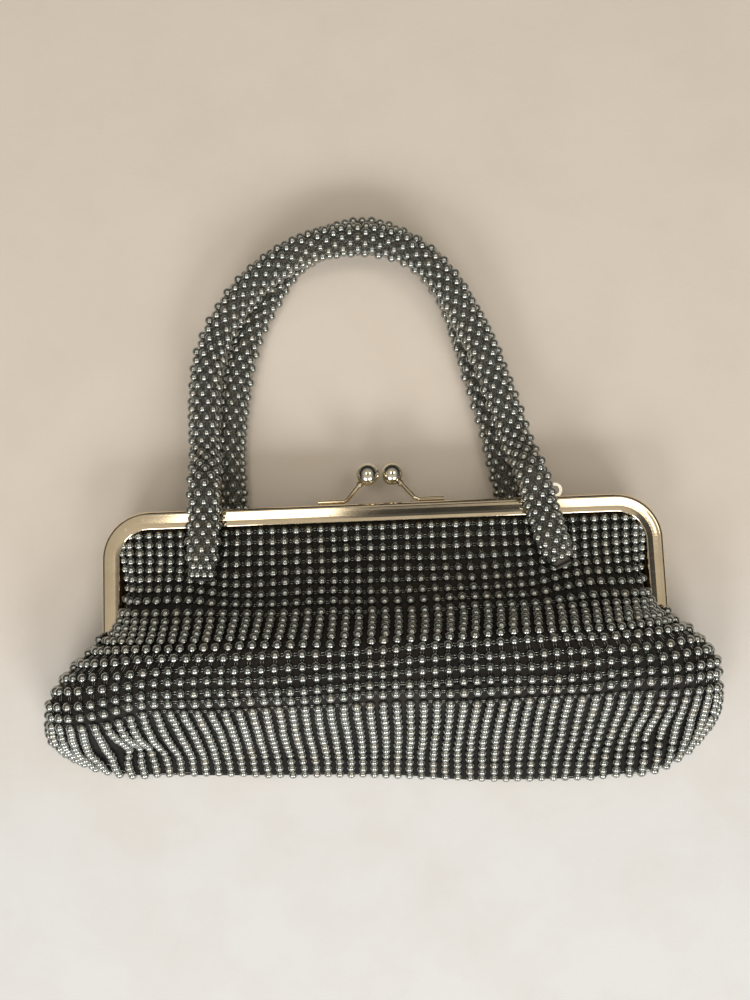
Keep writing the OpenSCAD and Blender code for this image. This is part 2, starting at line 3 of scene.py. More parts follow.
import bpy
import numpy as np
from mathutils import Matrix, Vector


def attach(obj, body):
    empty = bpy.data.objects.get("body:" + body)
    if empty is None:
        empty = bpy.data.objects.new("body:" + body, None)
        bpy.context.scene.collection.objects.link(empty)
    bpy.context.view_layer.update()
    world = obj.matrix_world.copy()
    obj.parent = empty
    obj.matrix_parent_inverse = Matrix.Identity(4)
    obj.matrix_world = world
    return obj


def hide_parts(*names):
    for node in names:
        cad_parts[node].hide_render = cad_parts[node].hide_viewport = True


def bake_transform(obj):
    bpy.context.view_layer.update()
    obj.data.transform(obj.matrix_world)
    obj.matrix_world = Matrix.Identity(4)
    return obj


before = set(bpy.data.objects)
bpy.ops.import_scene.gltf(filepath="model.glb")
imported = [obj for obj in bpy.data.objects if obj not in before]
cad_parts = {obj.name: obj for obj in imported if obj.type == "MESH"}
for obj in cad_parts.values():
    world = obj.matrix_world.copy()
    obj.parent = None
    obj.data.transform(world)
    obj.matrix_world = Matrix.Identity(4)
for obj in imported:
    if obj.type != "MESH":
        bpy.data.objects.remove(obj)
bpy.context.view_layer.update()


# shader helpers
class Wire:
    """One value in a shader tree. Arithmetic on it adds a Math node."""

    def __init__(self, tree, socket):
        self.tree = tree
        self.socket = socket

    def math(self, kind, other):
        node = self.tree.nodes.new("ShaderNodeMath")
        node.operation = kind
        for place, value in enumerate((self, other)):
            if isinstance(value, Wire):
                self.tree.links.new(value.socket, node.inputs[place])
            else:
                node.inputs[place].default_value = value
        return Wire(self.tree, node.outputs[0])

    def __add__(self, other):
        return self.math("ADD", other)

    def __radd__(self, other):
        return self.math("ADD", other)

    def __mul__(self, other):
        return self.math("MULTIPLY", other)

    def __rmul__(self, other):
        return self.math("MULTIPLY", other)

    def __sub__(self, other):
        return self.math("SUBTRACT", other)

    def __rsub__(self, other):
        return (self * -1.0).math("ADD", other)

    def __truediv__(self, other):
        return self.math("DIVIDE", other)

    def held(self):
        """The value held between 0 and 1."""
        return self.math("MAXIMUM", 0.0).math("MINIMUM", 1.0)

    def between(self, low, high):
        """0 below low, 1 above high, smooth between them."""
        part = ((self - low) / (high - low)).held()
        return part * part * (3.0 - 2.0 * part)


class Finish:
    """A material made of nodes, with one method that adds any node."""

    def __init__(self, name):
        self.material = bpy.data.materials.new(name)
        self.material.use_nodes = True
        self.tree = self.material.node_tree
        self.tree.nodes.clear()
        self.out = self.tree.nodes.new("ShaderNodeOutputMaterial")

    def node(self, kind, settings=None, output=0, **sockets):
        """Any node: its settings first, then its sockets by name, or by number as i0, i6, i7."""
        made = self.tree.nodes.new(kind)
        for name, value in (settings or {}).items():
            setattr(made, name, value)
        for name, value in sockets.items():
            socket = made.inputs[int(name[1:])] if name[0] == "i" and name[1:].isdigit() else made.inputs[name]
            if isinstance(value, Wire):
                self.tree.links.new(value.socket, socket)
            else:
                socket.default_value = value
        return Wire(self.tree, made.outputs[output])

    def place(self):
        return self.node("ShaderNodeTexCoord", output="Object")

    def noise(self, scale, detail=3.0, roughness=0.5, stretch=None):
        at = self.place()
        if stretch:
            at = self.node("ShaderNodeMapping", Vector=at, Scale=stretch)
        sockets = {"Vector": at, "Scale": scale, "Detail": detail, "Roughness": roughness}
        return self.node("ShaderNodeTexNoise", **sockets)

    def blendColour(self, share, first, second):
        return self.node("ShaderNodeMix", {"data_type": "RGBA"}, 2, i0=share, i6=first, i7=second)

    def bump(self, height, distance, strength):
        return self.node("ShaderNodeBump", Height=height, Distance=distance, Strength=strength)

    def skin(self, **sockets):
        """The Principled shader with these sockets, as the finished material."""
        shader = self.tree.nodes.new("ShaderNodeBsdfPrincipled")
        for name, value in sockets.items():
            socket = shader.inputs[name.replace("_", " ")]
            if isinstance(value, Wire):
                self.tree.links.new(value.socket, socket)
            else:
                socket.default_value = value
        self.tree.links.new(shader.outputs[0], self.out.inputs[0])
        return self.material


def colour(red, green, blue):
    return (red, green, blue, 1.0)


# materials
def polishedMetal(name, light, dark, rough):
    """Polished metal with fine wear: the colour goes darker and rougher in rare tarnish specks."""
    f = Finish(name)
    cloudy = f.noise(90.0, 4.0, 0.6)
    specks = f.noise(420.0, 3.0, 0.6).between(0.62, 0.74) * f.noise(60.0, 2.0).between(0.52, 0.66)
    shade = (cloudy.between(0.35, 0.75) * 0.35 + specks * 0.8).held()
    scratches = f.noise(900.0, 2.0, 0.5, (0.08, 1.0, 1.0))
    return f.skin(
        Base_Color=f.blendColour(shade, colour(*light), colour(*dark)),
        Metallic=1.0,
        Roughness=rough + specks * 0.3 + scratches * 0.07,
        Normal=f.bump(scratches + cloudy * 0.4, 0.00002, 0.35),
    )


def beadMetal(name):
    """Gunmetal plate on small balls: near mirror, a few balls duller and warmer than the rest."""
    f = Finish(name)
    each = f.node("ShaderNodeAttribute", {"attribute_name": "beadTone"}, "Fac")
    toneShare = each.between(0.7, 1.0)
    return f.skin(
        Base_Color=f.blendColour(toneShare, colour(0.415, 0.435, 0.418), colour(0.45, 0.445, 0.405)),
        Metallic=1.0,
        Roughness=0.19 + toneShare * 0.06 + f.noise(1500.0, 2.0) * 0.05,
    )


def cloth(name, light, dark, scale, depth):
    """Woven cloth: two crossed sine bands give the threads, a slow noise gives the fade.
    Below the pouch's crest, from 66 to 78 mm down, it is darker: painted shade in the gaps between the packed
    rows of balls."""
    f = Finish(name)
    bands = {"Scale": scale, "Distortion": 0.4}
    across, along = (
        f.node("ShaderNodeTexWave", {"bands_direction": way}, "Fac", Vector=f.place(), **bands)
        for way in "XY"
    )
    weave = (across + along) * 0.5
    fade = f.noise(35.0, 4.0).between(0.3, 0.7)
    down = f.node("ShaderNodeSeparateXYZ", Vector=f.place(), output=1)
    # painted shade: from 66 to 78 mm down the share of the light colour falls to 0.15, darkening the lining
    # between the packed rows of balls
    toneShare = (fade * 0.7 + weave * 0.3) * (0.15 + down.between(-0.078, -0.066) * 0.85)
    return f.skin(
        Base_Color=f.blendColour(toneShare.held(), colour(*dark), colour(*light)),
        Roughness=0.92,
        Normal=f.bump(weave, depth, 0.7),
    )


def threadSkin(name, light, dark):
    """Fine strands: one noise gives the colour, the gloss and the relief."""
    f = Finish(name)
    strand = f.noise(700.0, 3.0)
    return f.skin(
        Base_Color=f.blendColour(strand.between(0.3, 0.7), colour(*dark), colour(*light)),
        Roughness=0.6 + strand * 0.2,
        Normal=f.bump(strand, 0.00005, 0.6),
    )


finishes = {
    "frame_metal": polishedMetal("frame_metal", (0.88, 0.765, 0.575), (0.60, 0.47, 0.30), 0.06),
    "ball_metal": polishedMetal("ball_metal", (0.80, 0.76, 0.64), (0.55, 0.45, 0.30), 0.06),
    "rivet_metal": polishedMetal("rivet_metal", (0.66, 0.60, 0.48), (0.40, 0.32, 0.20), 0.22),
    "loop_metal": polishedMetal("loop_metal", (0.80, 0.76, 0.68), (0.50, 0.42, 0.30), 0.16),
    "bead_metal": beadMetal("bead_metal"),
    "rope_bead_metal": beadMetal("rope_bead_metal"),
    "black_cloth": cloth("black_cloth", (0.030, 0.025, 0.021), (0.010, 0.009, 0.008), 420.0, 0.0001),
    "core_cloth": cloth("core_cloth", (0.16, 0.145, 0.125), (0.070, 0.065, 0.060), 380.0, 0.00015),
    "binding_thread": threadSkin("binding_thread", (0.022, 0.022, 0.024), (0.008, 0.008, 0.009)),
    "paper_cord": threadSkin("paper_cord", (0.52, 0.42, 0.28), (0.34, 0.26, 0.16)),
}
print("materials made")


def dress(obj, slotName):
    """Give an object one finish, the one that slotName picks, as its only material."""
    obj.data.materials.clear()
    obj.data.materials.append(finishes[slotName])


# mesh helpers
def meshFrom(name, points, faces, body, tone=None):
    """Smooth mesh object: points in millimetres, faces as lists of point numbers, a tone for each point."""
    made = bpy.data.meshes.new(name)
    metres = np.asarray(points, float) * 0.001
    made.from_pydata(metres.tolist(), [], [[int(v) for v in face] for face in faces])
    made.update()
    made.polygons.foreach_set("use_smooth", [True] * len(made.polygons))
    if tone is not None:
        layer = made.attributes.new("beadTone", "FLOAT", "POINT")
        layer.data.foreach_set("value", np.asarray(tone, np.float32))
    obj = bpy.data.objects.new(name, made)
    bpy.context.scene.collection.objects.link(obj)
    if body:
        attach(obj, body)
    return obj


def ballShape(around=10, up=6):
    """Unit ball: rings at equal angles from pole to pole."""
    points = [[0, 0, 1]]
    for k in range(1, up):
        tilt = math.pi * k / up
        for i in range(around):
            turn = 2 * math.pi * i / around
            points.append([math.sin(tilt) * math.cos(turn), math.sin(tilt) * math.sin(turn), math.cos(tilt)])
    points.append([0, 0, -1])
    last = len(points) - 1
    faces = []
    for i in range(around):
        j = (i + 1) % around
        faces.append([0, 1 + i, 1 + j])
        faces.append([last, last - around + j, last - around + i])
        for k in range(up - 2):
            a, b = 1 + k * around, 1 + (k + 1) * around
            faces.append([a + i, b + i, b + j, a + j])
    return np.array(points, float), faces


ballPoints, ballFaces = ballShape()


def turnTo(normals):
    """Rotation for each normal that takes Z to it, as a stack of matrices."""
    up = normals / np.linalg.norm(normals, axis=1, keepdims=True)
    side = np.cross(np.where(np.abs(up[:, :1]) < 0.9, [[1.0, 0, 0]], [[0, 1.0, 0]]), up)
    side /= np.linalg.norm(side, axis=1, keepdims=True)
    return np.stack([side, np.cross(up, side), up], axis=2)


def beadsAt(centres, normals, radii):
    """All the balls of a net: each is the unit ball, scaled, with its poles on the normal."""
    scaled = np.einsum("nij,pj->npi", turnTo(normals), ballPoints) * np.asarray(radii).reshape(-1, 1, 1)
    points = (centres[:, None, :] + scaled).reshape(-1, 3)
    count = len(ballPoints)
    faces = [[v + k * count for v in face] for k in range(len(centres)) for face in ballFaces]
    return points, faces


def rodsBetween(starts, ends, radius, sides=5):
    """Thin straight wires, one prism for each pair of ends."""
    along = ends - starts
    length = np.linalg.norm(along, axis=1, keepdims=True)
    shortest = 0.05
    keep = length[:, 0] > shortest
    starts, ends, along = starts[keep], ends[keep], along[keep]
    turns = turnTo(along)
    angles = 2 * np.pi * np.arange(sides) / sides
    ring = np.stack([np.cos(angles), np.sin(angles), 0 * angles], axis=1) * radius
    rim = np.einsum("nij,pj->npi", turns, ring)
    points = np.concatenate([starts[:, None] + rim, ends[:, None] + rim], axis=1).reshape(-1, 3)
    faces = []
    for k in range(len(starts)):
        base = k * 2 * sides
        for i in range(sides):
            j = (i + 1) % sides
            faces.append([base + i, base + j, base + sides + j, base + sides + i])
        faces.append([base + i for i in reversed(range(sides))])
        faces.append([base + sides + i for i in range(sides)])
    return points, faces


def joined(*parts):
    """Several meshes as one: their points one after another, their faces renumbered."""
    points, faces, start = [], [], 0
    for partPoints, partFaces in parts:
        points.append(np.asarray(partPoints, float).reshape(-1, 3))
        faces += [[v + start for v in face] for face in partFaces]
        start += len(points[-1])
    return np.concatenate(points), faces


def gridShell(outer, inner):
    """Closed shell between two grids of the same shape, rows by columns."""
    rows, cols = outer.shape[:2]
    points = np.concatenate([outer.reshape(-1, 3), inner.reshape(-1, 3)])
    half = rows * cols
    faces = []
    for r in range(rows - 1):
        for c in range(cols - 1):
            a, b = r * cols + c, (r + 1) * cols + c
            faces.append([a, a + 1, b + 1, b])
            faces.append([half + a, half + b, half + b + 1, half + a + 1])
    edge = [*range(cols)] + [r * cols + cols - 1 for r in range(1, rows)]
    edge += [(rows - 1) * cols + c for c in range(cols - 2, -1, -1)]
    edge += [r * cols for r in range(rows - 2, 0, -1)]
    for a, b in zip(edge, edge[1:] + edge[:1]):
        faces.append([b, a, a + half, b + half])
    return points, faces


# surface of the purse
def curve(points, t):
    """Smooth curve through points that never overshoots them: cubic with harmonic mean slopes."""
    p = np.array(points, float)
    h = np.diff(p[:, 0])
    cut = np.diff(p[:, 1]) / h
    both = cut[:-1] * cut[1:]
    total = np.where(np.abs(cut[:-1] + cut[1:]) < 1e-9, 1.0, cut[:-1] + cut[1:])
    slope = np.concatenate([cut[:1], np.where(both <= 0, 0, 2 * both / total), cut[-1:]])
    t = np.asarray(t, float)
    i = np.clip(np.searchsorted(p[:, 0], t, side="right") - 1, 0, len(h) - 1)
    u = np.clip((t - p[i, 0]) / h[i], 0, 1)
    return (
        (1 + 2 * u) * (1 - u) ** 2 * p[i, 1] + u * (1 - u) ** 2 * h[i] * slope[i]
        + u * u * (3 - 2 * u) * p[i + 1, 1] - u * u * (1 - u) * h[i] * slope[i + 1]
    )


def ease(low, high, t):
    """Smooth step from 0 at low to 1 at high: three times the square of the share less twice its cube."""
    u = np.clip((np.asarray(t, float) - low) / (high - low), 0, 1)
    return u * u * (3 - 2 * u)


# Lengths are in millimetres and drops are distances down from the rail. Lists of pairs are curves of the drop.
# parting: highest side fold of the pouch. Each bulge is the power in the rounded outline of a cross section.
# sags: side, the range across and the range down over which the net comes to hang lower, and by how much.
# tucks: middles of the two tucks of the front. tuckSpread: twice the square of their width.
purse = {
    "shift": 1.8, "topY": -1.25, "taper": 0.0009, "taperMid": 68.0,
    "armEnd": 34.5, "pouchStart": 61.15, "widest": 72.0, "pouchEnd": 102.0,
    "parting": 14.25, "thinnest": 0.4, "sideBulge": 0.62, "topBulge": 0.8, "panelBulge": 3.2,
    "frontRise": [[5.5, 18.3], [12, 19.1], [20, 21.8], [30, 27], [37, 33], [42, 39], [47, 42], [55, 43],
                  [62, 42.2], [67, 39.2], [80, 24.5], [95, 8.5], [102, 5]],
    "backFall": [[5.5, 10.2], [27, 9.7], [37, 3], [46, -0.8], [94, -0.8], [102, 1.6]],
    "pouchHalf": [[61.15, 120], [66, 121.6], [72, 122], [80, 120], [88, 114.5], [94, 106], [98.5, 95],
                  [102, 77]],
    "panelHalf": [[34.5, 92.8], [39.5, 95.5], [43, 99.2], [47, 105.0], [54, 114.0], [60.8, 119.8]],
    "frontEdge": [[31, 18.3], [35.5, 23], [39.5, 23.6], [44, 24.2], [52, 22.2], [60.8, 20.4]],
    "backEdge": [[34.5, 10.2], [39.5, 5.5], [44, 5.1], [60.8, 6.7]],
    "sags": [[-1, 74, 110, 43, 68, 5.6], [1, 80, 106, 62, 92, 3.6], [1, -5, 35, 74, 98, 2.4]],
    "tucks": [[98.0, -86.0], [-90.0, -86.5]], "tuckPull": 0.42, "tuckDepth": 3.2, "tuckSpread": 110.0,
}
# the frame: corner radius, half the straight rail, width of the face, net under it, narrowing down the arms
rail = {"corner": 17, "straight": 83, "face": 6.4, "crimped": 0.8, "narrowing": 1.6}


def lay(x, drop, z):
    """Place in the row frame: the frame sits right of the pouch's middle, the net hangs lower by its sags,
    and around each tuck everything is drawn to its middle and sinks, by a bell curve of the distance."""
    x, drop, z = np.broadcast_arrays(np.asarray(x, float), np.asarray(drop, float), np.asarray(z, float))
    part = ease(36, 50, drop)
    sag = sum(
        depth * ease(fromX, toX, side * x) * ease(fromDrop, toDrop, drop)
        for side, fromX, toX, fromDrop, toDrop, depth in purse["sags"]
    )
    y = purse["topY"] - drop - purse["taper"] * x * (drop - purse["taperMid"]) * part - sag
    x = x + purse["shift"] * (1 - part)
    for middleX, middleY in purse["tucks"]:
        away = (x - middleX) ** 2 + (y - middleY) ** 2
        near = np.exp(-away / purse["tuckSpread"]) * ease(7, 15, z)
        pull = near * purse["tuckPull"]
        x, y, z = x + (middleX - x) * pull, y + (middleY - y) * pull, z - near * purse["tuckDepth"]
    return np.stack([x, y, z], axis=-1)


def panelHalfWidth(drop):
    """Half width of a panel: inside the frame's corner, then beside its arms, then a curve."""
    inner = rail["corner"] - rail["face"] + rail["crimped"]
    if drop < rail["corner"]:
        return rail["straight"] + math.sqrt(max(0.0, inner ** 2 - (rail["corner"] - drop) ** 2))
    if drop < purse["armEnd"]:
        narrower = rail["narrowing"] * float(ease(rail["corner"], purse["armEnd"], drop))
        return rail["straight"] + inner - narrower
    return float(curve(purse["panelHalf"], drop))


def pouchHeights(drop):
    """Top, bottom and side fold of the pouch. The fold is half way up, but no higher than parting."""
    low = curve(purse["backFall"], drop)
    top = np.maximum(low + purse["thinnest"], curve(purse["frontRise"], drop))
    middle = (top + low) / 2
    return top, low, middle + np.minimum(0, purse["parting"] - middle)


def section(drop, side, count=160):
    """Half cross section at a distance down the purse, from the middle to the edge: x, z and length."""
    quarter = np.linspace(0, 1, count) * np.pi / 2
    if drop < purse["pouchStart"]:
        share = np.sin(quarter)
        middle = float(curve(purse["frontRise" if side > 0 else "backFall"], drop))
        edge = float(curve(purse["frontEdge" if side > 0 else "backEdge"], drop))
        x = panelHalfWidth(drop) * share
        z = edge + (middle - edge) * np.sqrt(np.maximum(0, 1 - share ** purse["panelBulge"]))
    else:
        top, low, fold = pouchHeights(drop)
        share = np.sin(quarter) ** (1 / purse["sideBulge"])
        x = float(curve(purse["pouchHalf"], drop)) * share ** purse["sideBulge"]
        height = np.cos(np.arcsin(np.clip(share, 0, 1))) ** purse["topBulge"]
        z = fold + (top - fold if side > 0 else low - fold) * height
    z = np.maximum(0, z)
    run = np.concatenate([[0], np.cumsum(np.hypot(np.diff(x), np.diff(z)))])
    return x, z, run


def onSurface(drop, side, dist):
    """Points at signed distances from the middle along one cross section. Near the frame's
    corners the front rows are gathered: they ride up by as much as 2.9 mm, none at the rail or below 40 mm."""
    x, z, run = section(drop, side)
    away = np.minimum(np.abs(dist), run[-1])
    across, height = np.interp(away, run, x), np.interp(away, run, z)
    lift = 0.0
    if side > 0:
        lift = 2.9 * ease(48, 76, across) * ease(9, 27, drop) * (1 - ease(31, 40, drop))
    return lay(np.sign(dist) * across, drop - lift, height - lift * 0.3)


def pouchPoints(drop, side, x):
    """Points of one pouch row at signed x. From the widest place down, the rows bend up at
    their ends, more and more, until the last one follows the rim."""
    across = np.abs(x)
    fine = np.linspace(purse["widest"], purse["pouchEnd"] - 0.2, 120)
    rim = np.interp(across, curve(purse["pouchHalf"], fine)[::-1], fine[::-1])
    share = np.clip((drop - purse["widest"]) / (fine[-1] - purse["widest"]), 0, 1)
    at = drop - (fine[-1] - rim) * share
    top, low, fold = pouchHeights(at)
    bulge = np.clip(across / curve(purse["pouchHalf"], at), 0, 1) ** (1 / purse["sideBulge"])
    z = fold + (top - fold if side > 0 else low - fold) * np.sqrt(1 - bulge ** 2) ** purse["topBulge"]
    return lay(x, at, np.maximum(0, z))


def outwardNormal(down, over, side):
    """Unit normals out of the purse, from the steps down and across its surface; straight up or down
    where the two steps are parallel."""
    normal = np.cross(down, over) if side > 0 else np.cross(over, down)
    length = np.linalg.norm(normal, axis=1, keepdims=True)
    outward = np.array([[0, 0, 1.0 if side > 0 else -1.0]])
    return np.where(length > 1e-6, normal / np.maximum(length, 1e-6), outward)


def surfaceNormal(drop, side, dist):
    """Outward normals at the points that onSurface gives, from steps of 1 mm."""
    down = onSurface(drop + 0.5, side, dist) - onSurface(drop - 0.5, side, dist)
    over = onSurface(drop, side, dist + 0.5) - onSurface(drop, side, dist - 0.5)
    return outwardNormal(down, over, side)


# net of balls
# pitch: from ball to ball along a row. depth: of the middles under the surface. stray: spread of their places.
# closest: nearest to a ball of the rows before. always: columns from the middle that are never thinned.
# packed: rows closer than this have no wires along them. The link numbers are for the wires in pairs.
bead = {
    "pitch": 4.4, "depth": 1.68, "stray": 0.07, "closest": 1.75, "always": 15, "packed": 2.6,
    "linkHalfGap": 0.42, "linkSunk": 0.55, "linkRadius": 0.13, "linkLongest": 7.5,
}


def lengths(line):
    """Length along a line of points up to each of them."""
    return np.concatenate([[0], np.cumsum(np.linalg.norm(np.diff(line, axis=0), axis=1))])


def mirrored(half):
    """Values of a whole row from those of its right half, whose first is the middle."""
    return np.concatenate([-half[:0:-1], half])


def spread(run):
    """Distances of the balls along a row from the middle, and their column numbers. The pitch grows to the
    ends of a row longer than 26 pitches and shrinks in a shorter one. The ball at the edge is column 99."""
    pitch, columns, edgeColumn = bead["pitch"], 26, 99
    index = np.arange(0, int(run / (pitch * 0.93)) + 2)
    bend = np.clip((run - columns * pitch) / (columns * pitch), -0.09, 0.05)
    dist = pitch * index * (1 + bend * (index / columns) ** 2)
    ok = dist < run - 0.55 * pitch
    return np.append(dist[ok], run - 0.2), np.append(index[ok], edgeColumn)


def netRow(drop, side):
    """One row of a panel: column numbers, outer points and outward normals."""
    dist, index = spread(section(drop, side)[2][-1])
    signed = mirrored(dist)
    return {
        "key": mirrored(index),
        "outer": onSurface(drop, side, signed),
        "normal": surfaceNormal(drop, side, signed),
    }


def pouchRow(drop, side):
    """One row of the pouch, as netRow gives."""
    wide = float(curve(purse["pouchHalf"], min(drop, purse["widest"]))) - 0.05
    fine = wide * np.sin(np.linspace(0, np.pi / 2, 260))
    run = lengths(pouchPoints(drop, side, fine))
    dist, index = spread(run[-1])
    x = mirrored(np.interp(dist, run, fine))
    down = pouchPoints(drop + 0.4, side, x) - pouchPoints(drop - 0.4, side, x)
    right, left = np.clip(x + 0.2, -wide, wide), np.clip(x - 0.2, -wide, wide)
    over = pouchPoints(drop, side, right) - pouchPoints(drop, side, left)
    return {
        "key": mirrored(index),
        "outer": pouchPoints(drop, side, x),
        "normal": outwardNormal(down, over, side),
    }


def waves(centre, drop):
    """Slow waves of the net: a row wanders along the fabric by a sum of two sines of its x,
    and not at all where it is crimped in the frame."""
    x, row = centre[:, 0], drop / 3.0
    size = float(ease(8, 22, drop))
    moved = centre.copy()
    moved[:, 1] += size * (0.32 * np.sin(x / 16.0 + 0.35 * row) + 0.20 * np.sin(x / 7.0 - 0.8 * row))
    moved[:, 0] += size * 0.30 * np.sin(x / 11.0 + 0.5 * row)
    return moved


def wirePair(a, b, normals, halfGap):
    """Starts and ends of the two wires that run side by side from points a to points b."""
    aside = np.cross(b - a, normals)
    aside /= np.maximum(np.linalg.norm(aside, axis=-1, keepdims=True), 1e-6)
    return [(a + aside * offset, b + aside * offset) for offset in (-halfGap, halfGap)]


def beadPiece(name, body, slotName, rng, centres, normals, sizes, wires, lowest=None):
    """Balls, with their poles on the normals, and wires as one piece. Each ball draws a radius, round the
    mean that sizes gives and within its two limits, and then each draws a tone."""
    mean, smallest, largest = sizes
    radii = rng.normal(mean, 0.03, len(centres)).clip(smallest, largest)
    ballTones, wireTone = np.repeat(rng.random(len(centres)), len(ballPoints)), 0.3
    tone = np.concatenate([ballTones, np.full(len(wires[0]), wireTone)])
    points, faces = joined(beadsAt(centres, normals, radii), wires)
    if lowest is not None:
        points[:, 2] = np.maximum(points[:, 2], lowest)
    piece = meshFrom(name, points, faces, body, tone)
    dress(piece, slotName)
    return piece


def buildNet(name, drops, side, body, seed, before=None):
    """Net on one side, and its last row. The balls are 0.1 mm larger than the depth they sit at, so they
    stand proud of the surface by that much. Pairs of wires link neighbours in a row and in a column."""
    rng = np.random.default_rng(seed)
    depth, halfGap = bead["depth"], bead["linkHalfGap"]
    centres, normals, wires = [], [], []
    last = before
    for drop in drops:
        row = (netRow if drop < purse["pouchStart"] else pouchRow)(drop, side)
        centre = row["outer"] - row["normal"] * depth
        centre[:, 2] = np.maximum(centre[:, 2], depth)
        stray = rng.normal(0, bead["stray"], centre.shape)
        stray[:, 2] = -np.abs(stray[:, 2]) if side > 0 else np.abs(stray[:, 2])
        row["centre"] = waves(centre, drop) + stray
        if centres:
            # where the net is gathered, a ball that would sit in one of the last four rows is left out
            placed = np.concatenate(centres[-4:])
            gap = np.linalg.norm(row["centre"][:, None] - placed[None], axis=2).min(axis=1)
            clear = (gap > bead["closest"]) | (np.abs(row["key"]) < bead["always"])
            row = {part: values[clear] for part, values in row.items()}
        row["drop"] = drop
        row["sunk"] = row["centre"] - row["normal"] * bead["linkSunk"]
        centres.append(row["centre"])
        normals.append(row["normal"])
        if last is None or drop - last["drop"] >= bead["packed"]:
            wires += wirePair(row["sunk"][:-1], row["sunk"][1:], row["normal"][:-1], halfGap)
        if last is not None:
            known = {int(k): i for i, k in enumerate(last["key"])}
            pairs = [(known[int(k)], i) for i, k in enumerate(row["key"]) if int(k) in known]
            if pairs:
                upper, lower = np.array(pairs).T
                a, b, normal = last["sunk"][upper], row["sunk"][lower], row["normal"][lower]
                near = np.linalg.norm(b - a, axis=1) < bead["linkLongest"]
                wires += wirePair(a[near], b[near], normal[near], halfGap)
        last = row
    centres, normals = np.concatenate(centres), np.concatenate(normals)
    rods = rodsBetween(*(np.concatenate(ends) for ends in zip(*wires)), bead["linkRadius"])
    sizes = (depth + 0.1, 1.7, 1.86)
    net = beadPiece(name, body, "bead_metal", rng, centres, normals, sizes, rods, lowest=0.0)
    print(name, len(centres), "beads")
    return net, last


# lining cloth: points across, depth under the surface, thickness, margin at the edges, lowest faces
liner = {"columns": 70, "inset": 2.4, "thick": 1.35, "margin": 1.6, "lowest": 2.2, "backInside": 3.7}


def lining(name, drops, side, body, hem=0.0):
    """Lining cloth: the same surface moved inwards. A hem hangs down at its side edges beside the arms."""
    outer, inner = [], []
    for drop in drops:
        run = section(drop, side)[2][-1]
        dist = np.linspace(-1, 1, liner["columns"]) * (run - liner["margin"])
        here, normal = onSurface(drop, side, dist), surfaceNormal(drop, side, dist)
        depth = liner["inset"] * (1 - 0.6 * float(ease(93, 101, drop)))
        out, back = here - normal * depth, here - normal * (depth + liner["thick"])
        if hem:
            hang = np.array([[0, 0, 0.4 + hem * float(ease(26, 31, drop) * (1 - ease(42, 46, drop)))]])
            across = np.array([[1.0, 0, 0]])
            out = np.concatenate([out[:1] - hang, out, out[-1:] - hang])
            back = np.concatenate([out[:1] + across, back, out[-1:] - across])
        outer.append(out)
        inner.append(back)
    outer, inner = np.array(outer), np.array(inner)
    outer[..., 2] = np.maximum(outer[..., 2], liner["lowest"])
    inner[..., 2] = np.maximum(inner[..., 2], liner["lowest"] if side > 0 else liner["backInside"])
    if side < 0:
        outer, inner = outer[:, ::-1], inner[:, ::-1]
    piece = meshFrom(name, *gridShell(outer, inner), body)
    dress(piece, "black_cloth")
    return piece


frontPanelRows = [8.4, 12.0, 15.45, 19.1, 22.7, 26.1, 29.5, 32.5, 35.5, 37.4, 38.9, 40.3, 42.0, 44.4, 47.9,
                  52.2, 56.1, 60.3]
frontPouchRows = [64.4, *np.arange(68.9, 94, 2.45), 96.0, 98.7, 101.4]
backPanelRows = list(np.arange(7.5, 60.9, 4.2))
backPouchRows = [*np.arange(64.2, 98, 4.2), 101.0]

frontNet, lastFront = buildNet("frontNet", frontPanelRows, 1, None, 11)
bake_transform(frontNet)
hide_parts("front_bead_panel")
pouchFrontNet, _ = buildNet("pouchFrontNet", frontPouchRows, 1, "rear_half", 12, before=lastFront)
backNet, lastBack = buildNet("backNet", backPanelRows, -1, "rear_half", 13)
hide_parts("back_bead_panel")
pouchBackNet, _ = buildNet("pouchBackNet", backPouchRows, -1, "rear_half", 14, before=lastBack)
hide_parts("pouch_bead_net")
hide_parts("pouch_bead_net")

frontLining = lining("frontLining", np.linspace(6.2, 60.8, 40), 1, None, hem=4.6)
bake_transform(frontLining)
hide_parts("front_lining")
backLining = lining("backLining", np.linspace(6.2, 60.8, 40), -1, "rear_half")
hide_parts("back_lining")
pouchFrontLining = lining("pouchFrontLining", np.linspace(61.2, 101.6, 32), 1, "rear_half")
pouchBackLining = lining("pouchBackLining", np.linspace(61.2, 101.6, 32), -1, "rear_half")
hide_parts("pouch_lining")
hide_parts("pouch_lining")

# radii of the balls at the sides: mean and limits, radius of their single wires
sideBeads = {"sizes": (1.76, 1.7, 1.84), "wire": 0.2}
# columns of balls beside the arms: distances down, inwards from the panel's edge and below it
edgeColumns = {"drops": np.array([30.6, 34.3, 37.8, 41.0]), "inset": 2.2, "below": 4.6}


def buildEdgeNet(seed):
    """Short columns of balls that close the gap between the front panel's edges and the arms."""
    drops = edgeColumns["drops"]
    beside = np.array([panelHalfWidth(drop) for drop in drops]) - edgeColumns["inset"]
    height = curve(purse["frontEdge"], drops) - edgeColumns["below"]
    columns = [lay(side * beside, drops, height) for side in (-1, 1)]
    centres = np.concatenate(columns)
    outs = np.sign(centres[:, :1]) * [[0.95, 0.0, 0.0]] + [[0.0, 0.0, 0.3]]
    starts, ends = np.concatenate([c[:-1] for c in columns]), np.concatenate([c[1:] for c in columns])
    wires = rodsBetween(starts, ends, sideBeads["wire"])
    rng = np.random.default_rng(seed)
    net = beadPiece("edgeNet", None, "bead_metal", rng, centres, outs, sideBeads["sizes"], wires)
    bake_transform(net)
    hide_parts("front_bead_panel")


# folds beyond the hinges: rows down the purse, reach of the pleat, start and end in metres
gusset = {
    "first": 43.0, "last": 66.5, "step": 3.9, "edge": 1.6, "least": 101.4, "pleat": 1.8,
    "start": (0, -0.062, 0.0194), "end": (0, -0.0473, 0.044),
}


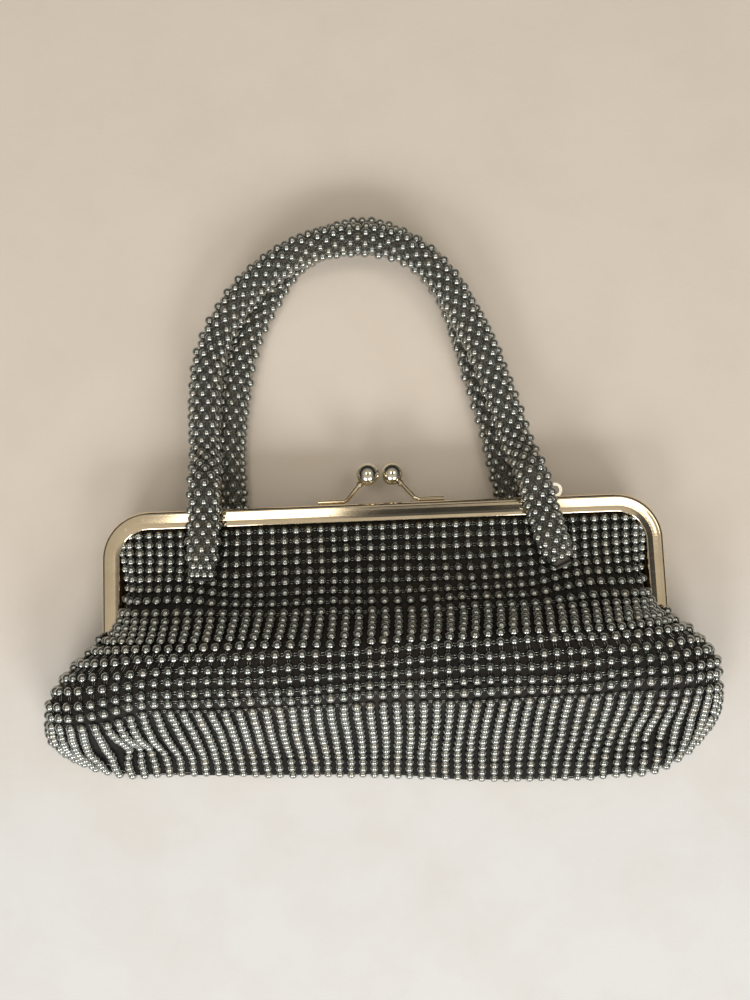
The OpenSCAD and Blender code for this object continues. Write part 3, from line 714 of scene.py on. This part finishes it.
def gussetEdges(drop):
    """Heights of the fold's lower and upper edge, inside those of the panels."""
    low, high = float(curve(purse["backEdge"], drop)), float(curve(purse["frontEdge"], drop))
    return low + gusset["edge"], high - gusset["edge"]


def gussetSpot(drop, side, share, inset):
    """Wall between the back edge (share 0) and the front edge (share 1) of the panels, bulged outwards."""
    low, high = gussetEdges(drop)
    pleat = gusset["pleat"] * math.sin(math.pi * share) * float(ease(41, 50, drop))
    reach = max(panelHalfWidth(drop), gusset["least"]) - inset + pleat
    return lay(side * reach, drop, low + (high - low) * share)


def buildGusset(seed):
    """Side folds of the net beyond the hinges, with the lining behind them."""
    rng = np.random.default_rng(seed)
    spots, outs, starts, ends = [], [], [], []
    for side in (-1, 1):
        before = None
        for drop in np.arange(gusset["first"], gusset["last"], gusset["step"]):
            low, high = gussetEdges(drop)
            count = int(round((high - low) / 4.0))
            row = np.array([gussetSpot(drop, side, i / count, 1.7) for i in range(count + 1)])
            row = row + rng.normal(0, bead["stray"], row.shape)
            spots.append(row)
            outs.append(np.tile([[side * 0.95, 0.3, 0.0]], (len(row), 1)))
            starts.append(row[:-1])
            ends.append(row[1:])
            if before is not None:
                shared = min(len(row), len(before))
                starts.append(before[:shared])
                ends.append(row[:shared])
            before = row
    wires = rodsBetween(np.concatenate(starts), np.concatenate(ends), sideBeads["wire"])
    centres, outs = np.concatenate(spots), np.concatenate(outs)
    net = beadPiece("sideNet", None, "bead_metal", rng, centres, outs, sideBeads["sizes"], wires)

    shells = []
    for side in (-1, 1):
        drops, shares = np.linspace(gusset["first"] - 1.5, gusset["last"], 12), np.linspace(-0.12, 1.12, 14)
        outer = np.array([[gussetSpot(d, side, share, 2.9) for share in shares] for d in drops])
        inner = np.array([[gussetSpot(d, side, share, 3.9) for share in shares] for d in drops])
        shells.append(gridShell(outer, inner) if side < 0 else gridShell(inner, outer))
    cover = meshFrom("sideLining", *joined(*shells), None)
    dress(cover, "black_cloth")
    for piece in (net, cover):
        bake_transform(piece)
    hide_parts("front_bead_panel")
    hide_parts("front_lining")


buildEdgeNet(32)
buildGusset(31)
print("pouch and panels built")

# handles
# half width and half height of the full rope, of its sewn ends, of its core in both, and of the thread's coils
rope = {
    "half": (6.5, 4.3), "sewnHalf": (4.5, 3.0), "coreHalf": (4.6, 2.45), "coreSewnHalf": (2.6, 1.6),
    "coilHalf": (2.8, 2.1), "bare": 2.0, "clear": 0.5, "railTop": 19.4,
    "sizes": (1.68, 1.6, 1.76), "step": 2.8, "around": 6, "stray": 0.08, "linkHalfGap": 0.4, "linkRadius": 0.16,
    "thread": 0.4, "threadPitch": 0.72,
}
# middles of the rope: on the table, across the other rope, and over the rail
lowZ = rope["half"][1]
archZ = 3 * rope["half"][1] + rope["clear"]
overZ = rope["railTop"] + rope["clear"] + rope["half"][1]
handles = {
    "front": {
        "body": "front_handle", "seed": 21,
        "route": [[-63, -25, 27.6], [-62.4, -14, 26.6], [-62, -3, overZ], [-62, 8, overZ - 1.5],
                  [-62.5, 20, archZ + 1], [-62.5, 34, archZ], [-59.5, 56, archZ], [-47, 77, archZ],
                  [-28, 91, archZ], [-8, 95.5, archZ], [10, 92.5, archZ], [24, 82, archZ],
                  [36.5, 60, archZ], [45, 37, archZ], [50, 20, archZ + 1], [53.5, 8, overZ - 1.5],
                  [55.8, -3, overZ], [58.5, -14, 26.6], [62.5, -25, 27.6]],
    },
    "rear": {
        "body": "rear_handle", "seed": 22,
        "route": [[-58, -25, 3.6], [-56.5, -14, lowZ], [-55.2, 0, lowZ], [-55, 25, lowZ],
                  [-49.5, 57, lowZ], [-40, 77, lowZ], [-27, 93, lowZ], [-5, 100.5, lowZ],
                  [10, 96.5, lowZ], [21, 88, lowZ], [30, 74, lowZ], [37, 50, lowZ],
                  [43, 27, lowZ], [48, 3, lowZ], [52, -12, lowZ], [57, -25, 3.6]],
    },
}


def smoothRoute(points, steps=24):
    """Catmull-Rom curve through the points, in the row frame."""
    p = np.array(points, float) + [purse["shift"], purse["topY"], 0]
    out = []
    for i in range(len(p) - 1):
        a, b, c, d = p[max(0, i - 1)], p[i], p[i + 1], p[min(len(p) - 1, i + 2)]
        u = np.linspace(0, 1, steps, endpoint=False)[:, None]
        square, cube = 2 * a - 5 * b + 4 * c - d, 3 * b - a - 3 * c + d
        out.append(0.5 * (2 * b + (c - a) * u + square * u * u + cube * u ** 3))
    return np.concatenate(out + [p[-1:]])


def ropeFrames(points, dist):
    """Centre, crossways and upright directions at distances along a route, and the route's length."""
    run = lengths(points)

    def at(s):
        return np.stack([np.interp(np.clip(s, 0, run[-1]), run, points[:, k]) for k in range(3)], axis=-1)

    way = at(dist + 1.0) - at(dist - 1.0)
    way /= np.linalg.norm(way, axis=1, keepdims=True)
    wide = np.cross([[0, 0, 1.0]], way)
    wide /= np.linalg.norm(wide, axis=1, keepdims=True)
    return at(dist), wide, np.cross(way, wide), run[-1]


def ropeSize(dist, length, narrow, full):
    """Half width and half height: narrow at both sewn ends, full from 12 mm on."""
    grow = ease(0, 12, np.minimum(dist, length - dist))
    return np.stack([narrow[k] + (full[k] - narrow[k]) * grow for k in range(2)], axis=-1)


def ellipseSpot(turn, half):
    """Points at equal shares of an ellipse's rim, in its own plane, and their angles."""
    fine = np.linspace(0, 2 * np.pi, 241)
    run = lengths(np.stack([half[0] * np.cos(fine), half[1] * np.sin(fine)], axis=1))
    angle = np.interp((turn % 1.0) * run[-1], run, fine)
    return np.stack([half[0] * np.cos(angle), half[1] * np.sin(angle)], axis=1), angle


def tubeFaces(rings, sides):
    """Quads between the rings of a tube, and its two end faces."""
    faces = []
    for k in range(rings - 1):
        for i in range(sides):
            a, b = k * sides + i, k * sides + (i + 1) % sides
            faces.append([a, b, b + sides, a + sides])
    last = (rings - 1) * sides
    return faces + [[*reversed(range(sides))], [*range(last, last + sides)]]


def tube(line, radius, sides):
    """Round tube along a line of points, closed at both ends. Each ring is turned as little as can be
    against the one before it."""
    turns = turnTo(np.gradient(line, axis=0))
    for k in range(1, len(turns)):
        side = turns[k - 1][:, 0] - turns[k][:, 2] * np.dot(turns[k - 1][:, 0], turns[k][:, 2])
        side /= np.linalg.norm(side)
        turns[k] = np.stack([side, np.cross(turns[k][:, 2], side), turns[k][:, 2]], axis=1)
    angle = 2 * np.pi * np.arange(sides) / sides
    ring = np.stack([np.cos(angle), np.sin(angle), 0 * angle], axis=1) * radius
    points = (line[:, None] + np.einsum("nij,pj->npi", turns, ring)).reshape(-1, 3)
    return points, tubeFaces(len(line), sides)


def ropeNet(name, spec, route, length):
    """Balls in rings of six round the rope, each ring turned by half a ball against the last. Pairs of
    wires link each ball to the two nearest ones of the next ring."""
    rng = np.random.default_rng(spec["seed"])
    around, bare = rope["around"], rope["bare"]
    rings = np.arange(bare + 0.9, length - bare - 0.8, rope["step"])
    centre, wide, upright, _ = ropeFrames(route, rings)
    half = ropeSize(rings, length, rope["sewnHalf"], rope["half"])
    balls, normals, wires = [], [], []
    for k in range(len(rings)):
        turn = (np.arange(around) + 0.5 * (k % 2)) / around + 0.003 * k
        spot, angle = ellipseSpot(turn, half[k] - rope["sizes"][0])
        out = np.stack([np.cos(angle) / half[k][0], np.sin(angle) / half[k][1]], axis=1)
        out /= np.linalg.norm(out, axis=1, keepdims=True)
        spot = spot + rng.normal(0, rope["stray"], spot.shape)
        balls.append(centre[k] + spot[:, :1] * wide[k] + spot[:, 1:] * upright[k])
        normals.append(out[:, :1] * wide[k] + out[:, 1:] * upright[k])
    for k in range(len(rings) - 1):
        for i in range(around):
            for j in (i, (i + (1 if k % 2 else -1)) % around):
                wires += wirePair(balls[k][i], balls[k + 1][j], normals[k][i], rope["linkHalfGap"])
    rods = rodsBetween(*(np.array(ends) for ends in zip(*wires)), rope["linkRadius"])
    centres, normals = np.concatenate(balls), np.concatenate(normals)
    net = beadPiece(name, spec["body"], "rope_bead_metal", rng, centres, normals, rope["sizes"], rods)
    print(name, len(centres), "beads")
    return net


def ropeCore(name, spec, route, length):
    """Stuffed core: one closed tube of elliptic rings."""
    stops, sides = np.linspace(0.7, length - 0.7, 180), 20
    centre, wide, upright, _ = ropeFrames(route, stops)
    half = ropeSize(stops, length, rope["coreSewnHalf"], rope["coreHalf"])[:, :, None, None]
    turn = 2 * np.pi * np.arange(sides) / sides
    across = half[:, 0] * np.cos(turn)[None, :, None] * wide[:, None]
    upwards = half[:, 1] * np.sin(turn)[None, :, None] * upright[:, None]
    points = (centre[:, None] + across + upwards).reshape(-1, 3)
    core = meshFrom(name, points, [face[::-1] for face in tubeFaces(len(stops), sides)], spec["body"])
    dress(core, "core_cloth")
    return core


def ropeBinding(name, spec, route, length):
    """Thread wound round both sewn ends: flattened coils that waver a little."""
    coils = []
    for low, high in ((0.8, rope["bare"]), (length - rope["bare"], length - 0.8)):
        turns = int((high - low) / rope["threadPitch"])
        share = np.linspace(0, 1, turns * 22)
        centre, wide, upright, _ = ropeFrames(route, low + (high - low) * share)
        angle = 2 * np.pi * turns * share
        wobble = 1 + 0.02 * np.sin(angle * 3.3)
        across = (rope["coilHalf"][0] * wobble * np.cos(angle))[:, None] * wide
        upwards = (rope["coilHalf"][1] * wobble * np.sin(angle))[:, None] * upright
        coils.append(tube(centre + across + upwards, rope["thread"], 6))
    binding = meshFrom(name, *joined(*coils), spec["body"])
    dress(binding, "binding_thread")
    return binding


def buildHandle(label, spec):
    """One handle: its net, its padded core and the thread round its ends."""
    route = smoothRoute(spec["route"])
    length = lengths(route)[-1]
    net = ropeNet(label + "HandleNet", spec, route, length)
    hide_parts(label + "_handle_net")
    core = ropeCore(label + "HandleCore", spec, route, length)
    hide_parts(label + "_handle_core")
    binding = ropeBinding(label + "HandleBinding", spec, route, length)
    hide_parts(label + "_handle_stitches")
    print(label, "handle built, length", round(length, 1))


for label, spec in handles.items():
    buildHandle(label, spec)

# metal parts from the CAD
metalSlots = {
    "frame_metal": ["front_frame", "rear_frame", "front_lock_arm", "rear_lock_arm"],
    "ball_metal": ["front_lock_ball", "rear_lock_ball"],
    "rivet_metal": ["left_hinge_rivet", "right_hinge_rivet"],
    "loop_metal": ["left_chain_loop", "right_chain_loop"],
    "paper_cord": ["front_channel_cord", "rear_channel_cord"],
}
for slotName, nodes in metalSlots.items():
    for nodeName in nodes:
        dress(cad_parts[nodeName], slotName)
print("frame dressed")

# table cloth, light and camera
# half size of the table cloth in metres; its near colour, its far colour with painted shade, and the fold
# colour, painted shade in its folds
table = {"half": 1.6, "far": (0.90, 0.815, 0.728), "near": (0.93, 0.945, 0.965), "fold": (0.76, 0.66, 0.56)}
floorMesh = bpy.data.meshes.new("tableCloth")
corners = [(x * table["half"], y * table["half"], 0) for x, y in ((-1, -1), (1, -1), (1, 1), (-1, 1))]
floorMesh.from_pydata(corners, [], [(0, 1, 2, 3)])
floor = bpy.data.objects.new("tableCloth", floorMesh)
bpy.context.scene.collection.objects.link(floor)
clothFinish = Finish("tableCloth")
ripple = clothFinish.noise(26.0, 4.0, 0.55)
grain = clothFinish.noise(900.0, 3.0, 0.6)
depthAway = clothFinish.node("ShaderNodeSeparateXYZ", Vector=clothFinish.place(), output=1)
# painted shade: the cloth is warmer and darker towards the far side of the table, away from the window lamps
ground = clothFinish.blendColour(depthAway.between(-0.15, 0.02), colour(*table["near"]), colour(*table["far"]))
# painted shade: where the ripple noise that also raises the folds is high, the cloth goes towards the fold
# colour in slow blotches
floorMesh.materials.append(clothFinish.skin(
    Base_Color=clothFinish.blendColour(ripple.between(0.35, 0.75) * 0.22, ground, colour(*table["fold"])),
    Roughness=0.95,
    Normal=clothFinish.bump(grain + ripple * 6.0, 0.0002, 0.3),
))

world = bpy.data.worlds.new("room")
bpy.context.scene.world = world
world.use_nodes = True
tree = world.node_tree
background = tree.nodes["Background"]
away = tree.nodes.new("ShaderNodeSeparateXYZ")
tree.links.new(tree.nodes.new("ShaderNodeTexCoord").outputs["Generated"], away.inputs[0])
right, back, up = (Wire(tree, away.outputs[k]) for k in range(3))
# a plain room: pale on the window side, a warm ceiling with a dark middle, dim elsewhere
windowSide = (up * 0.2 - back * 0.9).between(0.15, 0.85)
aside = right - 0.083
shadow = (1.0 - (aside * aside).between(0.010, 0.019)) * up.between(0.955, 0.972)
ceiling = up.between(0.35, 0.9) * (1.0 - shadow)
glow = windowSide * 0.22 + ceiling * 0.46 + 0.03
tint = tree.nodes.new("ShaderNodeMix")
tint.data_type = "RGBA"
tint.inputs[6].default_value = (0.97, 0.98, 0.97, 1)
tint.inputs[7].default_value = (1.0, 0.90, 0.75, 1)
tree.links.new(ceiling.socket, tint.inputs[0])
# the camera itself sees a plain pale backdrop
seen = Wire(tree, tree.nodes.new("ShaderNodeLightPath").outputs["Is Camera Ray"])
backdrop = tree.nodes.new("ShaderNodeMix")
backdrop.data_type = "RGBA"
backdrop.inputs[7].default_value = (0.92, 0.88, 0.82, 1)
tree.links.new(seen.socket, backdrop.inputs[0])
tree.links.new(tint.outputs[2], backdrop.inputs[6])
tree.links.new(backdrop.outputs[2], background.inputs["Color"])
tree.links.new((glow * (1.0 - seen) + seen * 0.78).socket, background.inputs["Strength"])


def areaLight(name, place, target, size, power, tint):
    data = bpy.data.lights.new(name, "AREA")
    data.shape = "RECTANGLE"
    data.size, data.size_y = size
    data.energy = power
    data.color = tint
    lamp = bpy.data.objects.new(name, data)
    lamp.location = place
    lamp.rotation_euler = (Vector(target) - Vector(place)).to_track_quat("-Z", "Y").to_euler()
    bpy.context.scene.collection.objects.link(lamp)


areaLight("windowLeft", (-0.45, -1.00, 0.72), (0, 0, 0), (0.52, 0.42), 5.1, (1.0, 0.985, 0.96))
areaLight("windowRight", (0.47, -1.00, 0.72), (0, 0, 0), (0.52, 0.42), 5.1, (1.0, 0.985, 0.96))
areaLight("ceilingLeft", (-0.255, 0.20, 1.45), (-0.255, 0.20, 0), (0.33, 0.50), 1.7, (1.0, 0.93, 0.80))
areaLight("ceilingRight", (0.64, 0.20, 1.45), (0.64, 0.20, 0), (0.52, 0.50), 2.0, (1.0, 0.93, 0.80))

# camera above the table, its field from the photo's half height and focal length in pixels
camera = bpy.data.objects.new("camera", bpy.data.cameras.new("camera"))
bpy.context.scene.collection.objects.link(camera)
camera.data.sensor_fit = "VERTICAL"
halfHeight, focal = 500, 839
camera.data.angle = 2 * math.atan(halfHeight / focal)
camera.location = (-0.0003, -0.0002, 0.317)
camera.rotation_euler = (0, 0, math.radians(-2.26))
camera.data.clip_start = 0.01
bpy.context.scene.camera = camera
scene = bpy.context.scene
scene.view_settings.view_transform = "Standard"
scene.view_settings.look = "None"
